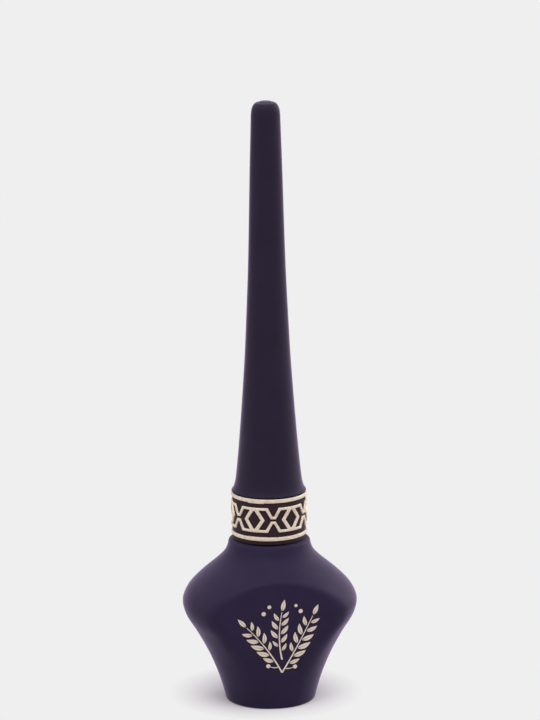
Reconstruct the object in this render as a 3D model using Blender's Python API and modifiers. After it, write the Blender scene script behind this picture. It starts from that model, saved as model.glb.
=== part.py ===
"""Liquid eyeliner: a vase-shaped bottle with two flat panels, and a long screw cap with a dip brush.

Metres, +Z up. The origin is the middle of the base, and the front panel faces -Y.
The cap unscrews anticlockwise on a right-hand thread, then lifts off with its rod and brush.
"""
import math

import bmesh
import bpy
from mathutils import Vector

MM = 0.001
TURN = 2.0 * math.pi
OBJECT_NAME = "liquid_eyeliner_bottle"

# Bottle
BODY_HEIGHT = 35.55 * MM
BODY_RADIUS = 18.67 * MM
PANEL_FOOT_DEPTH = 21.0 * MM
PANEL_LEAN_DEGREES = 5.7
BODY_WALL = 1.6 * MM
BODY_FLOOR = 1.6 * MM
BODY_ROOF = 1.8 * MM
FOOT_ROUND = 0.6 * MM
LEDGE_ROUND = 0.35 * MM
RECESS_DEPTH = 0.35 * MM
RECESS_RADIUS = 7.2 * MM

# Neck and its thread
NECK_HEIGHT = 8.45 * MM
NECK_BORE_RADIUS = 3.7 * MM
NECK_WALL = 1.2 * MM
RIM_ROUND = 0.25 * MM
THREAD_TURNS = 1.5
THREAD_HEAD = 1.05 * MM
THREAD_FOOT = 0.35 * MM
THREAD_CLEARANCE = 0.15 * MM
RIDGE_SHARE = 0.24

# Base label
LABEL_MARGIN = 0.2 * MM
LABEL_THICKNESS = 0.15 * MM

# Wiper, gasket, rod and brush
WIPER_LENGTH = 8.0 * MM
WIPER_WALL = 0.5 * MM
WIPER_FLANGE_THICKNESS = 0.45 * MM
WIPER_CLEARANCE = 0.1 * MM
GASKET_THICKNESS = 0.6 * MM
GASKET_MARGIN = 0.1 * MM
ROD_RADIUS = 1.25 * MM
ROD_TIP_WALL = 0.4 * MM
ROD_FLANGE_WIDTH = 0.75 * MM
ROD_FLANGE_MARGIN = 0.3 * MM
SOCKET_DEPTH = 5.5 * MM
BRUSH_LENGTH = 9.5 * MM
BRUSH_ROOT_LENGTH = 2.5 * MM
BRUSH_FLOOR_CLEARANCE = 5.5 * MM

# Cap
CAP_LENGTH = 93.7 * MM
CAP_LIFT = 0.55 * MM
CAP_WALL = 1.1 * MM
CAP_ROOF = 1.8 * MM
CAP_EDGE_ROUND = 0.85 * MM
SKIRT_WALL = 0.5 * MM
STOP_WIDTH = 0.6 * MM
FLARE_WIDTH = 0.15 * MM
NUB_RADIUS = 1.1 * MM
NUB_HEIGHT = 0.2 * MM
INNER_CAP_RECESS = 0.3 * MM
INNER_CAP_SKIN = 0.1 * MM
INNER_CAP_CEILING = 1.0 * MM
PLUG_WALL = 1.2 * MM
PLUG_ROOF = 1.0 * MM

# Collar and its raised gilt work
COLLAR_HEIGHT = 9.9 * MM
COLLAR_WALL = 0.67 * MM
COLLAR_LOWER_LIP = 0.7 * MM
COLLAR_UPPER_LIP = 0.05 * MM
RELIEF = 0.38 * MM
RIM_HEIGHT = 0.85 * MM
RIM_SPACING = 0.95 * MM
RELIEF_ROUND = 0.12 * MM
FRET_REPEATS = 6
FRET_TURN = math.radians(-1.4)

# Clearances: a slip fit, and a seat or a foil-thin glue line
FIT_GAP = 0.1 * MM
SEAT_GAP = 0.05 * MM
CUT_OVERRUN = 1.0 * MM

# Facets
SEGMENTS = 48
ROD_SEGMENTS = 24
ROUND_STEPS = 3
HELIX_POINTS_PER_TURN = 32
RIDGE_RESOLUTION = 2
SMOOTH_ANGLE = math.radians(32.0)
MERGE_DISTANCE = 0.002 * MM

# Outlines: shares of the height and of the largest radius, from the foot up
BODY_OUTLINE_SHARES = (
    (0.0, 0.508), (0.113, 0.565), (0.281, 0.686), (0.450, 0.855), (0.549, 0.969), (0.619, 1.0),
    (0.689, 0.950), (0.788, 0.777), (0.872, 0.590), (0.928, 0.495), (1.0, 0.457),
)
CAP_OUTLINE_SHARES = (
    (0.0, 1.0), (0.009, 0.955), (0.0185, 0.919), (0.047, 0.878), (0.095, 0.826), (0.167, 0.760),
    (0.262, 0.683), (0.358, 0.615), (0.465, 0.559), (0.585, 0.505), (0.704, 0.470), (0.835, 0.436),
    (0.967, 0.393), (1.0, 0.383),
)
WIPER_CONE_SHARE = 0.4
WIPER_FLANGE_SHARE = 0.6
ROD_TIP_SHARE = 0.88
ROD_TAPER_SHARE = 0.55
ROD_FLANGE_SHARE = 0.67
BRUSH_OUTLINE_SHARES = ((0.0, 0.62), (0.25, 0.76), (0.55, 0.66), (0.82, 0.36), (1.0, 0.06))

# Openings of the fretwork: shares of half a repeat and of half the band's height
FRET_DIAMOND_SHARES = ((0.03, 0.67), (0.335, 0.0), (0.03, -0.67), (-0.03, -0.67), (-0.335, 0.0),
                       (-0.03, 0.67))
FRET_WAIST_SHARES = ((-0.73, 0.725), (-0.41, 0.725), (-0.15, 0.08), (0.15, 0.08), (0.41, 0.725),
                     (0.73, 0.725), (0.423, 0.0), (0.73, -0.725), (0.41, -0.725), (0.15, -0.08),
                     (-0.15, -0.08), (-0.41, -0.725), (-0.73, -0.725), (-0.423, 0.0))
FRET_NOTCH_SHARES = ((-0.262, 1.2), (-0.262, 1.0), (-0.057, 0.32), (0.057, 0.32), (0.262, 1.0),
                     (0.262, 1.2))

# Heights that follow from how the pieces seat on each other
NECK_TOP = BODY_HEIGHT + NECK_HEIGHT
WIPER_SEAT = NECK_TOP + SEAT_GAP
GASKET_SEAT = WIPER_SEAT + WIPER_FLANGE_THICKNESS + SEAT_GAP
CEILING = GASKET_SEAT + GASKET_THICKNESS + SEAT_GAP
CAP_BASE = BODY_HEIGHT + CAP_LIFT
BRUSH_TIP = BODY_FLOOR + BRUSH_FLOOR_CLEARANCE

# Thread: both ridges have the same lead and round section, half a lead apart
THREAD_LOW = CAP_BASE + INNER_CAP_RECESS + THREAD_FOOT
THREAD_HIGH = NECK_TOP - THREAD_HEAD
THREAD_LEAD = (THREAD_HIGH - THREAD_LOW) / (THREAD_TURNS + 0.5 + 2.0 * RIDGE_SHARE)
RIDGE_RADIUS = THREAD_LEAD * RIDGE_SHARE
CAP_THREAD_START = THREAD_LOW + RIDGE_RADIUS
NECK_THREAD_START = CAP_THREAD_START + THREAD_LEAD / 2.0

# Radii that follow from how the pieces nest, from the neck outwards
NECK_RADIUS = NECK_BORE_RADIUS + NECK_WALL
THREAD_ROOT_RADIUS = NECK_RADIUS + RIDGE_RADIUS + THREAD_CLEARANCE
INNER_CAP_RADIUS = THREAD_ROOT_RADIUS + RIDGE_RADIUS + INNER_CAP_SKIN
SKIRT_INNER_RADIUS = INNER_CAP_RADIUS + FIT_GAP
SKIRT_RADIUS = SKIRT_INNER_RADIUS + SKIRT_WALL
COLLAR_INNER_RADIUS = SKIRT_RADIUS + FIT_GAP
COLLAR_RADIUS = COLLAR_INNER_RADIUS + COLLAR_WALL
RELIEF_INNER_RADIUS = COLLAR_RADIUS + SEAT_GAP
RELIEF_RADIUS = COLLAR_RADIUS + RELIEF
FLARE_RADIUS = COLLAR_RADIUS + FLARE_WIDTH
SOCKET_RADIUS = ROD_RADIUS + SEAT_GAP
ROD_FLANGE_RADIUS = ROD_RADIUS + ROD_FLANGE_WIDTH
ROD_TIP_RADIUS = ROD_RADIUS * ROD_TIP_SHARE
BRUSH_SOCKET_RADIUS = ROD_TIP_RADIUS - ROD_TIP_WALL

# Finishes: colour, roughness and metallic value
PLUM = ((0.033, 0.025, 0.050), 0.55, 0.0)
GILT = ((0.72, 0.60, 0.46), 0.35, 1.0)
NATURAL = ((0.74, 0.74, 0.72), 0.45, 0.0)
BLACK = ((0.018, 0.018, 0.020), 0.4, 0.0)
SEAL = ((0.80, 0.80, 0.78), 0.7, 0.0)
HAIR = ((0.030, 0.022, 0.018), 0.6, 0.0)
PAPER = ((0.83, 0.80, 0.74), 0.8, 0.0)


def clear_scene():
    """Remove the objects that Blender starts with."""
    for thing in list(bpy.data.objects):
        bpy.data.objects.remove(thing, do_unlink=True)


def new_collection(name):
    """A collection of its own in the scene."""
    group = bpy.data.collections.new(name)
    bpy.context.scene.collection.children.link(group)
    return group


def smooth_line(knots):
    """A function that gives the radius at a height, smooth through the knots and never past them."""
    widths = [high[0] - low[0] for low, high in zip(knots, knots[1:])]
    rises = [(high[1] - low[1]) / width for low, high, width in zip(knots, knots[1:], widths)]
    slopes = [rises[0]]
    for index in range(1, len(rises)):
        below, above = rises[index - 1], rises[index]
        if below * above <= 0.0:
            slopes.append(0.0)
            continue
        near, far = widths[index - 1], widths[index]
        slopes.append(3.0 * (near + far) / ((2.0 * far + near) / below + (far + 2.0 * near) / above))
    slopes.append(rises[-1])

    def radius_at(height):
        index = 0
        while index < len(widths) - 1 and height > knots[index + 1][0]:
            index += 1
        width = widths[index]
        share = (height - knots[index][0]) / width
        rest = 1.0 - share
        return (knots[index][1] * (1.0 + 2.0 * share) * rest ** 2
                + knots[index + 1][1] * (3.0 - 2.0 * share) * share ** 2
                + width * share * rest * (slopes[index] * rest - slopes[index + 1] * share))

    return radius_at


def scaled_knots(shares, base, height, radius):
    """Knots in metres from an outline of shares that stands on base."""
    return [(base + height * up, radius * out) for up, out in shares]


def rows_between(low, high, heights):
    """The two limits with the heights that lie between them, from the top down."""
    inner = [height for height in heights if low + SEAT_GAP < height < high - SEAT_GAP]
    return sorted([low, *inner, high], reverse=True)


def with_midpoints(heights):
    """The heights with one more halfway between each two."""
    middles = [(low + high) / 2.0 for low, high in zip(heights, heights[1:])]
    return sorted([*heights, *middles])


def fillet(corners):
    """An outline in which each corner with a rounding is drawn as a short curve."""
    outline = []
    for index, (radius, height, rounding) in enumerate(corners):
        corner = Vector((radius, height))
        if not rounding:
            outline.append(corner)
            continue
        before = Vector(corners[index - 1][:2]) - corner
        after = Vector(corners[(index + 1) % len(corners)][:2]) - corner
        start = corner + before.normalized() * min(rounding, before.length / 2.0)
        end = corner + after.normalized() * min(rounding, after.length / 2.0)
        for step in range(ROUND_STEPS + 1):
            share = step / ROUND_STEPS
            outline.append(start.lerp(corner, share).lerp(corner.lerp(end, share), share))
    return outline


def plain(points):
    """Corners without rounding."""
    return [(radius, height, 0.0) for radius, height in points]


def turned(name, group, corners, closed=False, segments=SEGMENTS):
    """A turned piece: the outline runs down its outer side and, on a ring, back up the inner one."""
    outline = fillet(corners)
    last = len(outline) - 1
    edges = [(index, index + 1) for index in range(last)]
    if closed:
        edges.append((last, 0))
    mesh = bpy.data.meshes.new(name)
    mesh.from_pydata([(point.x, 0.0, point.y) for point in outline], edges, [])
    piece = bpy.data.objects.new(name, mesh)
    group.objects.link(piece)
    screw = piece.modifiers.new("turning", "SCREW")
    screw.steps = segments
    screw.render_steps = segments
    screw.use_merge_vertices = True
    screw.merge_threshold = MERGE_DISTANCE
    return piece


def slab(name, group, size, centre):
    """A box with its scale applied."""
    mesh = bpy.data.meshes.new(name)
    work = bmesh.new()
    bmesh.ops.create_cube(work, size=1.0)
    bmesh.ops.scale(work, vec=size, verts=work.verts)
    work.to_mesh(mesh)
    work.free()
    box = bpy.data.objects.new(name, mesh)
    box.location = centre
    group.objects.link(box)
    return box


def mesh_from_curve(name, group, curve):
    """The curve as a closed mesh with its caps welded."""
    source = bpy.data.objects.new(name + "_curve", curve)
    group.objects.link(source)
    graph = bpy.context.evaluated_depsgraph_get()
    mesh = bpy.data.meshes.new_from_object(source.evaluated_get(graph))
    work = bmesh.new()
    work.from_mesh(mesh)
    bmesh.ops.remove_doubles(work, verts=work.verts, dist=MERGE_DISTANCE)
    bmesh.ops.recalc_face_normals(work, faces=work.faces)
    work.to_mesh(mesh)
    work.free()
    piece = bpy.data.objects.new(name, mesh)
    piece.matrix_world = source.matrix_world
    group.objects.link(piece)
    bpy.data.objects.remove(source, do_unlink=True)
    return piece


def thread_ridge(name, group, radius, start_height):
    """A round ridge that climbs a right-hand thread, to be joined to the wall it runs along."""
    curve = bpy.data.curves.new(name, "CURVE")
    curve.dimensions = "3D"
    curve.twist_mode = "Z_UP"
    curve.bevel_depth = RIDGE_RADIUS
    curve.bevel_resolution = RIDGE_RESOLUTION
    curve.use_fill_caps = True
    count = round(HELIX_POINTS_PER_TURN * THREAD_TURNS)
    spline = curve.splines.new("POLY")
    spline.points.add(count)
    for index in range(count + 1):
        turns = THREAD_TURNS * index / count
        angle = TURN * turns
        height = start_height + THREAD_LEAD * turns
        spline.points[index].co = (radius * math.cos(angle), radius * math.sin(angle), height, 1.0)
    return mesh_from_curve(name, group, curve)


def combine(piece, other, operation):
    """Cut, join or limit the piece with another object, which then shows as a guide."""
    boolean = piece.modifiers.new(other.name, "BOOLEAN")
    boolean.operation = operation
    boolean.solver = "EXACT"
    boolean.object = other
    other.hide_render = True
    other.display_type = "WIRE"


def finish(piece, surface):
    """Give the piece its own material and smooth shading that keeps its sharp edges."""
    colour, roughness, metallic = surface
    material = bpy.data.materials.new(piece.name + "_finish")
    material.use_nodes = True
    shader = material.node_tree.nodes["Principled BSDF"]
    shader.inputs["Base Color"].default_value = (*colour, 1.0)
    shader.inputs["Roughness"].default_value = roughness
    shader.inputs["Metallic"].default_value = metallic
    material.diffuse_color = (*colour, 1.0)
    piece.data.materials.append(material)
    piece.data.shade_smooth()
    piece.data.set_sharp_from_angle(angle=SMOOTH_ANGLE)
    return piece


def axis_empty(name, group, height):
    """An empty on the bottle's axis that carries the pieces of one moving body."""
    empty = bpy.data.objects.new(name, None)
    empty.location = (0.0, 0.0, height)
    group.objects.link(empty)
    return empty


def body_radius_line():
    """The bottle's outer radius at a height."""
    return smooth_line(scaled_knots(BODY_OUTLINE_SHARES, 0.0, BODY_HEIGHT, BODY_RADIUS))


def body_rows(low, high):
    """Heights at which the bottle's outline has a point, from the top down."""
    heights = with_midpoints([BODY_HEIGHT * up for up, _ in BODY_OUTLINE_SHARES])
    return rows_between(low, high, heights)


def panel_block(name, cutters, inset):
    """A block between the two panels, which lean outwards as they rise, set in from them on both sides."""
    low, high = -CUT_OVERRUN, NECK_TOP + 2.0 * CUT_OVERRUN
    size = (2.0 * (BODY_RADIUS + CUT_OVERRUN), PANEL_FOOT_DEPTH, high - low)
    block = slab(name, cutters, size, (0.0, 0.0, (low + high) / 2.0))
    lean = math.tan(math.radians(PANEL_LEAN_DEGREES))
    for vertex in block.data.vertices:
        depth = PANEL_FOOT_DEPTH / 2.0 + lean * (vertex.co.z + block.location.z) - inset
        vertex.co.y = math.copysign(depth, vertex.co.y)
    return block


def body_cavity(cutters):
    """The space inside the bottle and its neck, flat where the panels are."""
    radius_at = body_radius_line()
    roof = BODY_HEIGHT - BODY_ROOF
    top = NECK_TOP + CUT_OVERRUN
    corners = plain([(0.0, top), (NECK_BORE_RADIUS, top), (NECK_BORE_RADIUS, roof)])
    corners += plain([(radius_at(height) - BODY_WALL, height) for height in body_rows(BODY_FLOOR, roof)])
    corners += plain([(0.0, BODY_FLOOR)])
    cavity = turned("cavity", cutters, corners)
    combine(cavity, panel_block("cavity_depth", cutters, BODY_WALL), "INTERSECT")
    return cavity


def build_bottle_body(parts, cutters):
    """The vase with its flat panels, base recess, ledge, threaded neck and cavity."""
    radius_at = body_radius_line()
    ledge_radius = radius_at(BODY_HEIGHT)
    sides = [(radius_at(height), height) for height in body_rows(0.0, BODY_HEIGHT)]
    corners = [
        (0.0, NECK_TOP, 0.0),
        (NECK_RADIUS, NECK_TOP, RIM_ROUND),
        (NECK_RADIUS, BODY_HEIGHT, 0.0),
        (ledge_radius, BODY_HEIGHT, LEDGE_ROUND),
        *plain(sides[1:-1]),
        (sides[-1][0], 0.0, FOOT_ROUND),
        (RECESS_RADIUS, 0.0, 0.0),
        (RECESS_RADIUS, RECESS_DEPTH, 0.0),
        (0.0, RECESS_DEPTH, 0.0),
    ]
    body = turned("bottle_body", parts, corners)
    combine(body, panel_block("body_depth", cutters, 0.0), "INTERSECT")
    combine(body, thread_ridge("neck_thread", cutters, NECK_RADIUS, NECK_THREAD_START), "UNION")
    combine(body, body_cavity(cutters), "DIFFERENCE")
    return finish(body, PLUM)


def build_base_label(parts):
    """The round sticker in the base's recess."""
    radius = RECESS_RADIUS - LABEL_MARGIN
    corners = plain([(0.0, LABEL_THICKNESS), (radius, LABEL_THICKNESS), (radius, 0.0), (0.0, 0.0)])
    label = turned("base_label", parts, corners)
    label.location.z = RECESS_DEPTH - SEAT_GAP - LABEL_THICKNESS
    return finish(label, PAPER)


def build_wiper(parts):
    """The neck insert: a flange on the rim, a sleeve in the bore and a cone down to the wiping lip."""
    outer = NECK_BORE_RADIUS - SEAT_GAP
    inner = outer - WIPER_WALL
    lip = ROD_RADIUS + WIPER_CLEARANCE
    flange = NECK_BORE_RADIUS + WIPER_FLANGE_SHARE * NECK_WALL
    cone = -WIPER_LENGTH * (1.0 - WIPER_CONE_SHARE)
    corners = plain([
        (flange, WIPER_FLANGE_THICKNESS), (flange, 0.0), (outer, 0.0), (outer, cone),
        (lip + WIPER_WALL, -WIPER_LENGTH), (lip, -WIPER_LENGTH), (inner, cone),
        (inner, WIPER_FLANGE_THICKNESS),
    ])
    wiper = turned("wiper", parts, corners, closed=True)
    wiper.location.z = WIPER_SEAT
    return finish(wiper, NATURAL)


def build_seal_gasket(parts):
    """The soft ring between the wiper's flange and the inner cap's ceiling."""
    outer = NECK_RADIUS - GASKET_MARGIN
    inner = ROD_FLANGE_RADIUS + ROD_FLANGE_MARGIN
    corners = plain([(outer, GASKET_THICKNESS), (outer, 0.0), (inner, 0.0), (inner, GASKET_THICKNESS)])
    gasket = turned("seal_gasket", parts, corners, closed=True)
    gasket.location.z = GASKET_SEAT
    return finish(gasket, SEAL)


def build_rod(parts, carrier):
    """The stem: a head in the inner cap's socket, a flange under the ceiling and a bored, tapered end."""
    head = SOCKET_DEPTH - SEAT_GAP
    flange_top = -SEAT_GAP
    flange_low = flange_top - GASKET_THICKNESS * ROD_FLANGE_SHARE
    end = BRUSH_TIP + BRUSH_LENGTH - CEILING
    taper = end * ROD_TAPER_SHARE
    socket_top = end + BRUSH_ROOT_LENGTH + SEAT_GAP
    corners = plain([
        (0.0, head), (ROD_RADIUS, head), (ROD_RADIUS, flange_top), (ROD_FLANGE_RADIUS, flange_top),
        (ROD_FLANGE_RADIUS, flange_low), (ROD_RADIUS, flange_low), (ROD_RADIUS, taper),
        (ROD_TIP_RADIUS, end), (BRUSH_SOCKET_RADIUS, end), (BRUSH_SOCKET_RADIUS, socket_top),
        (0.0, socket_top),
    ])
    rod = turned("rod", parts, corners, segments=ROD_SEGMENTS)
    rod.parent = carrier
    return finish(rod, BLACK)


def build_bristles(parts, carrier):
    """The tuft: a root in the rod's end and a pointed brush below it."""
    root = BRUSH_SOCKET_RADIUS - SEAT_GAP
    corners = plain([(0.0, BRUSH_ROOT_LENGTH), (root, BRUSH_ROOT_LENGTH), (root, 0.0)])
    corners += plain([(ROD_RADIUS * out, -SEAT_GAP - (BRUSH_LENGTH - SEAT_GAP) * down)
                      for down, out in BRUSH_OUTLINE_SHARES])
    corners += plain([(0.0, -BRUSH_LENGTH)])
    tuft = turned("bristles", parts, corners, segments=ROD_SEGMENTS)
    tuft.parent = carrier
    tuft.location.z = BRUSH_TIP + BRUSH_LENGTH - CEILING
    return finish(tuft, HAIR)


def build_inner_cap(parts, cutters, carrier):
    """The threaded liner of the cap, with the plug that holds the rod."""
    low = CAP_BASE + INNER_CAP_RECESS
    ceiling_top = CEILING + INNER_CAP_CEILING
    plug_radius = SOCKET_RADIUS + PLUG_WALL
    socket_top = CEILING + SOCKET_DEPTH
    plug_top = socket_top + PLUG_ROOF
    points = [
        (0.0, plug_top), (plug_radius, plug_top), (plug_radius, ceiling_top),
        (INNER_CAP_RADIUS, ceiling_top), (INNER_CAP_RADIUS, low), (THREAD_ROOT_RADIUS, low),
        (THREAD_ROOT_RADIUS, CEILING), (SOCKET_RADIUS, CEILING), (SOCKET_RADIUS, socket_top),
        (0.0, socket_top),
    ]
    liner = turned("inner_cap", parts, plain([(radius, height - CAP_BASE) for radius, height in points]))
    ridge = thread_ridge("cap_thread", cutters, THREAD_ROOT_RADIUS, CAP_THREAD_START - CAP_BASE)
    ridge.parent = carrier
    combine(liner, ridge, "UNION")
    liner.parent = carrier
    return finish(liner, NATURAL)


def build_cap_shell(parts, carrier):
    """The long hollow cap: gate nub, rounded top, hollow-sided taper, flared foot and thin skirt."""
    flare = COLLAR_HEIGHT + SEAT_GAP
    knots = scaled_knots(CAP_OUTLINE_SHARES, flare, CAP_LENGTH - flare, FLARE_RADIUS)
    radius_at = smooth_line(knots)
    heights = [height for height, _ in knots]
    stop = CEILING + INNER_CAP_CEILING + SEAT_GAP - CAP_BASE
    stop_radius = SKIRT_INNER_RADIUS - STOP_WIDTH
    roof = CAP_LENGTH - CAP_ROOF
    outer = [(radius_at(height), height) for height in rows_between(flare, CAP_LENGTH, heights)]
    hollow = [(min(radius_at(height) - CAP_WALL, stop_radius), height)
              for height in reversed(rows_between(max(stop, flare), roof, heights))]
    corners = [
        (0.0, CAP_LENGTH + NUB_HEIGHT, 0.0),
        (NUB_RADIUS, CAP_LENGTH + NUB_HEIGHT, NUB_HEIGHT / 2.0),
        (NUB_RADIUS, CAP_LENGTH, 0.0),
        (outer[0][0], CAP_LENGTH, CAP_EDGE_ROUND),
        *plain(outer[1:]),
        (SKIRT_RADIUS, flare, 0.0),
        (SKIRT_RADIUS, 0.0, 0.0),
        (SKIRT_INNER_RADIUS, 0.0, 0.0),
        (SKIRT_INNER_RADIUS, stop, 0.0),
        (stop_radius, stop, 0.0),
        *plain(hollow),
        (0.0, roof, 0.0),
    ]
    shell = turned("cap_shell", parts, corners)
    shell.parent = carrier
    return finish(shell, PLUM)


def build_collar(parts, carrier):
    """The ring round the cap's skirt."""
    corners = plain([(COLLAR_RADIUS, COLLAR_HEIGHT), (COLLAR_RADIUS, 0.0), (COLLAR_INNER_RADIUS, 0.0),
                     (COLLAR_INNER_RADIUS, COLLAR_HEIGHT)])
    collar = turned("collar", parts, corners, closed=True)
    collar.parent = carrier
    return finish(collar, PLUM)


def build_rim(name, parts, carrier, low):
    """A gilt rim on the collar, from low up."""
    corners = [
        (RELIEF_RADIUS, RIM_HEIGHT, RELIEF_ROUND), (RELIEF_RADIUS, 0.0, RELIEF_ROUND),
        (RELIEF_INNER_RADIUS, 0.0, 0.0), (RELIEF_INNER_RADIUS, RIM_HEIGHT, 0.0),
    ]
    rim = turned(name, parts, corners, closed=True)
    rim.parent = carrier
    rim.location.z = low
    return finish(rim, GILT)


def fret_openings(cutters, half_height):
    """All openings of the fretwork, drawn flat round the collar and then wrapped round its axis."""
    curve = bpy.data.curves.new("fret_openings", "CURVE")
    curve.dimensions = "2D"
    curve.fill_mode = "BOTH"
    curve.extrude = RELIEF
    half_repeat = math.pi * RELIEF_RADIUS / FRET_REPEATS
    lower_notch = tuple((along, -up) for along, up in FRET_NOTCH_SHARES)
    shapes = ((FRET_DIAMOND_SHARES, 0.0), (FRET_WAIST_SHARES, half_repeat),
              (FRET_NOTCH_SHARES, half_repeat), (lower_notch, half_repeat))
    for repeat in range(FRET_REPEATS):
        for shares, shift in shapes:
            centre = 2.0 * half_repeat * repeat + shift
            spline = curve.splines.new("POLY")
            spline.points.add(len(shares) - 1)
            spline.use_cyclic_u = True
            for point, (along, up) in zip(spline.points, shares):
                point.co = (centre + half_repeat * along, half_height * up, 0.0, 1.0)
    openings = mesh_from_curve("fret_openings", cutters, curve)
    waist_angle = math.pi / FRET_REPEATS
    for vertex in openings.data.vertices:
        angle = vertex.co.x / RELIEF_RADIUS - waist_angle + FRET_TURN
        height = vertex.co.y
        radius = RELIEF_INNER_RADIUS - RELIEF if vertex.co.z < 0.0 else RELIEF_RADIUS + 4.0 * RELIEF
        vertex.co = (radius * math.sin(angle), -radius * math.cos(angle), height)
    return openings


def build_fretwork(parts, cutters, carrier):
    """The gilt band of linked hexagons and chevrons between the rims."""
    low = COLLAR_LOWER_LIP + RIM_HEIGHT + RIM_SPACING
    high = COLLAR_HEIGHT - COLLAR_UPPER_LIP - RIM_HEIGHT - RIM_SPACING
    half_height = (high - low) / 2.0
    corners = plain([(RELIEF_RADIUS, half_height), (RELIEF_RADIUS, -half_height),
                     (RELIEF_INNER_RADIUS, -half_height), (RELIEF_INNER_RADIUS, half_height)])
    band = turned("collar_fretwork", parts, corners, closed=True)
    openings = fret_openings(cutters, half_height)
    for piece in (band, openings):
        piece.parent = carrier
        piece.location.z = (low + high) / 2.0
    combine(band, openings, "DIFFERENCE")
    return finish(band, GILT)


def main():
    """Build the bottle, then what stands in its neck, then the cap."""
    clear_scene()
    parts = new_collection(OBJECT_NAME)
    cutters = new_collection("cutters_and_guides")
    build_bottle_body(parts, cutters)
    build_base_label(parts)
    build_wiper(parts)
    build_seal_gasket(parts)
    rod_axis = axis_empty("rod_axis", parts, CEILING)
    build_rod(parts, rod_axis)
    build_bristles(parts, rod_axis)
    cap_axis = axis_empty("cap_axis", parts, CAP_BASE)
    build_inner_cap(parts, cutters, cap_axis)
    build_cap_shell(parts, cap_axis)
    build_collar(parts, cap_axis)
    build_rim("collar_rim_lower", parts, cap_axis, COLLAR_LOWER_LIP)
    build_rim("collar_rim_upper", parts, cap_axis, COLLAR_HEIGHT - COLLAR_UPPER_LIP - RIM_HEIGHT)
    build_fretwork(parts, cutters, cap_axis)
    bpy.context.view_layer.update()


main()
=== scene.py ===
"""Looks of a liquid eyeliner bottle with a long screw cap, a gilt fretwork collar and a dip brush.

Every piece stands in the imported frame: metres, +Z up, the front panel facing -Y. The frame's nodes give
the sizes, and the classes below turn, wrap and dress the fine surfaces that stand for those nodes.
"""
from __future__ import annotations

import logging
import math
import random
from dataclasses import dataclass
from enum import Enum

import bmesh
import bpy
import numpy as np
from mathutils import Matrix, Vector

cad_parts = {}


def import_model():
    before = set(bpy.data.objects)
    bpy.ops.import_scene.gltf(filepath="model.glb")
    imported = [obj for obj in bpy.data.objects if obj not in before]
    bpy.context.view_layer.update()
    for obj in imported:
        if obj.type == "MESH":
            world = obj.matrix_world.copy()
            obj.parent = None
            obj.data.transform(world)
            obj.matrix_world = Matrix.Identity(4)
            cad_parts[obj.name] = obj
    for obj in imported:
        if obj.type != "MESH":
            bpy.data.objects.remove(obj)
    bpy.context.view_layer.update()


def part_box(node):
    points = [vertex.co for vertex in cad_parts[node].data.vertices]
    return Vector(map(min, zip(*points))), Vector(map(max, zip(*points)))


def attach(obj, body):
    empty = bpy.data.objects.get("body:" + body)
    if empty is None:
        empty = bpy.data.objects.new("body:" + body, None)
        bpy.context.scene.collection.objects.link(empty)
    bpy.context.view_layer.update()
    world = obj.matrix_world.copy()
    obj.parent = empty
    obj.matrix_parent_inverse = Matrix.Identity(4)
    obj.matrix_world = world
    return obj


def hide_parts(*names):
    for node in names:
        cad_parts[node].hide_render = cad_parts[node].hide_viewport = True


MM = 0.001
TURN = 2.0 * math.pi
GOLDEN_ANGLE = math.pi * (3.0 - math.sqrt(5.0))
HEADING_STEP = 0.01
LOG = logging.getLogger("eyeliner")

Piece = bpy.types.Object
Curve = bpy.types.Curve
Material = bpy.types.Material
Socket = bpy.types.NodeSocket
Corner = tuple[float, float, float]
Colour = tuple[float, float, float]
Place = tuple[float, float, float]
Point = tuple[float, float]
Range = tuple[float, float]


class Body(Enum):
    """The bodies of the frame that pieces ride on."""

    BOTTLE = "bottle"
    SEAL = "seal"
    APPLICATOR = "applicator"
    CAP = "cap"


def configure(thing: bpy.types.bpy_struct, values: dict[str, object]) -> None:
    """Set properties of a Blender thing by name."""
    for name, value in values.items():
        setattr(thing, name, value)


class NodeBoard:
    """A node tree that starts empty, and short ways to fill it."""

    def __init__(self, owner: Material | bpy.types.World) -> None:
        """Take over the owner's tree and empty it.

        Args:
            owner: The material or the world that the tree belongs to.
        """
        owner.use_nodes = True
        self.tree = owner.node_tree
        self.tree.nodes.clear()

    def add(self, kind: str, **values: object) -> bpy.types.Node:
        """Add a node and set its properties.

        Args:
            kind: The node's type.
            values: Properties of the node by name.

        Returns:
            The new node.
        """
        node = self.tree.nodes.new(kind)
        configure(node, values)
        return node

    def link(self, source: Socket, target: Socket) -> None:
        """Link one socket to another."""
        self.tree.links.new(source, target)

    def calculate(self, operation: str, first: Socket, second: Socket | float = 0.0) -> Socket:
        """Work out a value from one or two others.

        Args:
            operation: The name of the calculation.
            first: The first value.
            second: The second value, linked or fixed, where the calculation has one.

        Returns:
            The result.
        """
        node = self.add("ShaderNodeMath", operation=operation)
        self.link(first, node.inputs[0])
        if isinstance(second, float):
            node.inputs[1].default_value = second
        else:
            self.link(second, node.inputs[1])
        return node.outputs["Value"]

    def background_rays(self) -> Socket:
        """Tell the rays that see the background: from the camera, mirrored or passed through.

        Returns:
            A socket that is 1 on such rays.
        """
        paths = self.add("ShaderNodeLightPath")
        seen = paths.outputs["Is Camera Ray"]
        for kind in ("Is Glossy Ray", "Is Transmission Ray"):
            seen = self.calculate("MAXIMUM", seen, paths.outputs[kind])
        return seen

    def mix_shaders(self, share: Socket, first: Socket, second: Socket, target: Socket) -> None:
        """Go from one shader to another with a share.

        Args:
            share: 0 for the first shader, 1 for the second.
            first: The first shader.
            second: The second shader.
            target: The socket that takes the mixture.
        """
        mix = self.add("ShaderNodeMixShader")
        self.link(share, mix.inputs["Fac"])
        self.link(first, mix.inputs[1])
        self.link(second, mix.inputs[2])
        self.link(mix.outputs["Shader"], target)


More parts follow.
